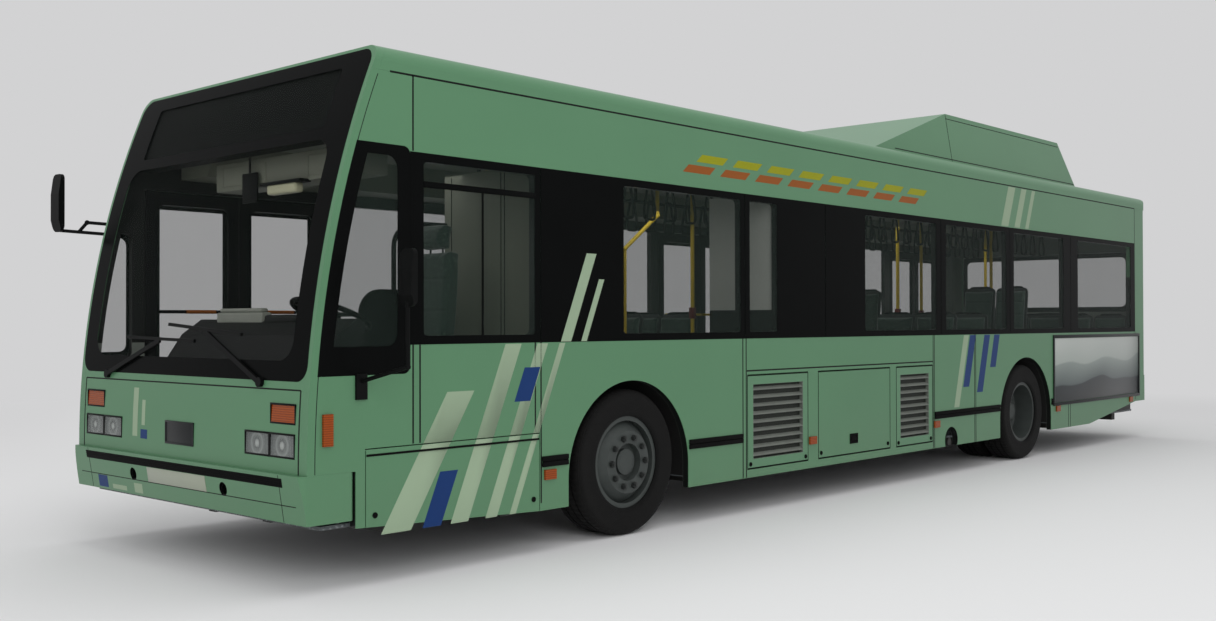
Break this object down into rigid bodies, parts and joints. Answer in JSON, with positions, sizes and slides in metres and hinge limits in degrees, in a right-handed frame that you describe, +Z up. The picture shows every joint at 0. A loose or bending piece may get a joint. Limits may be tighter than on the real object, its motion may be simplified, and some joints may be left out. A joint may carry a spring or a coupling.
{
  "type": "low-floor city bus",
  "caption": "Low-floor single-deck city bus with raked front, dark window band, double-leaf doors on the right, louvred engine flaps on the left and a roof pod.",
  "frame": {"origin": "on the ground under the middle of the bus, halfway between the bumper faces", "axes": "+X forward, +Y to the left of the bus, +Z up"},
  "size_m": [12, 3.24, 3.38],
  "materials": {
    "body_paint": "satin",
    "dark_frame": "satin",
    "glass": "gloss",
    "chassis": "matte",
    "lining": "matte",
    "dark_plastic": "matte",
    "seat_fabric": "matte",
    "yellow_rail": "gloss",
    "lamp_clear": "gloss",
    "lamp_amber": "gloss",
    "lamp_red": "gloss",
    "pod": "satin",
    "grille": "satin",
    "axle": "matte",
    "bellows": "matte",
    "rim": "satin",
    "tyre": "matte"
  },
  "bodies": {
    "shell": {"underframe": "chassis", "floor": "lining", "wheel_boxes": "lining", "driver_platform": "lining", "left_wall": "body_paint", "right_wall": "body_paint", "roof": "body_paint", "front_mask": "body_paint", "rear_wall": "body_paint", "front_bumper": "body_paint", "rear_bumper": "body_paint", "windscreen": "glass", "windows": "glass", "destination_display": "dark_plastic", "roof_pod": "pod", "engine": "chassis", "engine_cover": "lining", "cab_wall": "lining", "ceiling": "lining", "driver_seat": "seat_fabric", "dashboard": "dark_plastic", "steering_wheel": "dark_plastic", "passenger_seats": "seat_fabric", "handrails": "yellow_rail", "headlamps": "lamp_clear", "amber_lamps": "lamp_amber", "tail_lamps": "lamp_red", "wipers": "dark_plastic", "mirrors": "dark_plastic", "front_axle": "axle", "rear_axle": "axle", "air_springs": "bellows"},
    "knuckle_left": {"knuckle_left": "axle"},
    "wheel_front_left": {"rim_front_left": "rim", "tyre_front_left": "tyre"},
    "wheel_rear_left": {"rim_rear_left": "rim", "tyre_rear_left": "tyre"},
    "knuckle_right": {"knuckle_right": "axle"},
    "wheel_front_right": {"rim_front_right": "rim", "tyre_front_right": "tyre"},
    "wheel_rear_right": {"rim_rear_right": "rim", "tyre_rear_right": "tyre"},
    "leaf_front_fore": {"front_door_fore": "dark_frame", "front_pane_fore": "glass"},
    "leaf_front_aft": {"front_door_aft": "dark_frame", "front_pane_aft": "glass"},
    "leaf_mid_fore": {"mid_door_fore": "dark_frame", "mid_pane_fore": "glass"},
    "leaf_mid_aft": {"mid_door_aft": "dark_frame", "mid_pane_aft": "glass"},
    "leaf_rear_fore": {"rear_door_fore": "dark_frame", "rear_pane_fore": "glass"},
    "leaf_rear_aft": {"rear_door_aft": "dark_frame", "rear_pane_aft": "glass"},
    "lid_front_flap": {"front_flap": "body_paint"},
    "lid_front_grille": {"front_grille": "grille"},
    "lid_engine_door": {"engine_door": "body_paint"},
    "lid_rear_grille": {"rear_grille": "grille"}
  },
  "joints": [
    {"name": "steer_left", "type": "hinge", "parent": "shell", "child": "knuckle_left", "pos_m": [3.485, 0.957, 0.475], "axis": [0, 0, 1], "range_deg": [-45, 45]},
    {"name": "roll_front_left", "type": "hinge", "parent": "knuckle_left", "child": "wheel_front_left", "pos_m": [3.485, 1.107, 0.475], "axis": [0, 1, 0], "continuous": true},
    {"name": "roll_rear_left", "type": "hinge", "parent": "shell", "child": "wheel_rear_left", "pos_m": [-2.56, 1.107, 0.475], "axis": [0, 1, 0], "continuous": true},
    {"name": "steer_right", "type": "hinge", "parent": "shell", "child": "knuckle_right", "pos_m": [3.485, -0.957, 0.475], "axis": [0, 0, 1], "range_deg": [-45, 45]},
    {"name": "roll_front_right", "type": "hinge", "parent": "knuckle_right", "child": "wheel_front_right", "pos_m": [3.485, -1.107, 0.475], "axis": [0, 1, 0], "continuous": true},
    {"name": "roll_rear_right", "type": "hinge", "parent": "shell", "child": "wheel_rear_right", "pos_m": [-2.56, -1.107, 0.475], "axis": [0, 1, 0], "continuous": true},
    {"name": "swing_front_fore", "type": "hinge", "parent": "shell", "child": "leaf_front_fore", "pos_m": [5.507, -1.25, 0.36], "axis": [0, 0, -1], "range_deg": [0, 90]},
    {"name": "swing_front_aft", "type": "hinge", "parent": "shell", "child": "leaf_front_aft", "pos_m": [4.177, -1.25, 0.36], "axis": [0, 0, 1], "range_deg": [0, 90]},
    {"name": "swing_mid_fore", "type": "hinge", "parent": "shell", "child": "leaf_mid_fore", "pos_m": [0.205, -1.25, 0.36], "axis": [0, 0, -1], "range_deg": [0, 90]},
    {"name": "swing_mid_aft", "type": "hinge", "parent": "shell", "child": "leaf_mid_aft", "pos_m": [-1.065, -1.25, 0.36], "axis": [0, 0, 1], "range_deg": [0, 90]},
    {"name": "swing_rear_fore", "type": "hinge", "parent": "shell", "child": "leaf_rear_fore", "pos_m": [-4.27, -1.25, 0.36], "axis": [0, 0, -1], "range_deg": [0, 90]},
    {"name": "swing_rear_aft", "type": "hinge", "parent": "shell", "child": "leaf_rear_aft", "pos_m": [-5.54, -1.25, 0.36], "axis": [0, 0, 1], "range_deg": [0, 90]},
    {"name": "lift_front_flap", "type": "hinge", "parent": "shell", "child": "lid_front_flap", "pos_m": [4.9615, 1.27, 0.714], "axis": [1, 0, 0], "range_deg": [0, 95]},
    {"name": "lift_front_grille", "type": "hinge", "parent": "shell", "child": "lid_front_grille", "pos_m": [1.8145, 1.27, 0.994], "axis": [1, 0, 0], "range_deg": [0, 95]},
    {"name": "lift_engine_door", "type": "hinge", "parent": "shell", "child": "lid_engine_door", "pos_m": [0.7185, 1.27, 0.994], "axis": [1, 0, 0], "range_deg": [0, 95]},
    {"name": "lift_rear_grille", "type": "hinge", "parent": "shell", "child": "lid_rear_grille", "pos_m": [-0.264, 1.27, 0.994], "axis": [1, 0, 0], "range_deg": [0, 95]}
  ],
  "couplings": [
    {"joint": "steer_right", "follows": "steer_left", "ratio": 1}
  ]
}
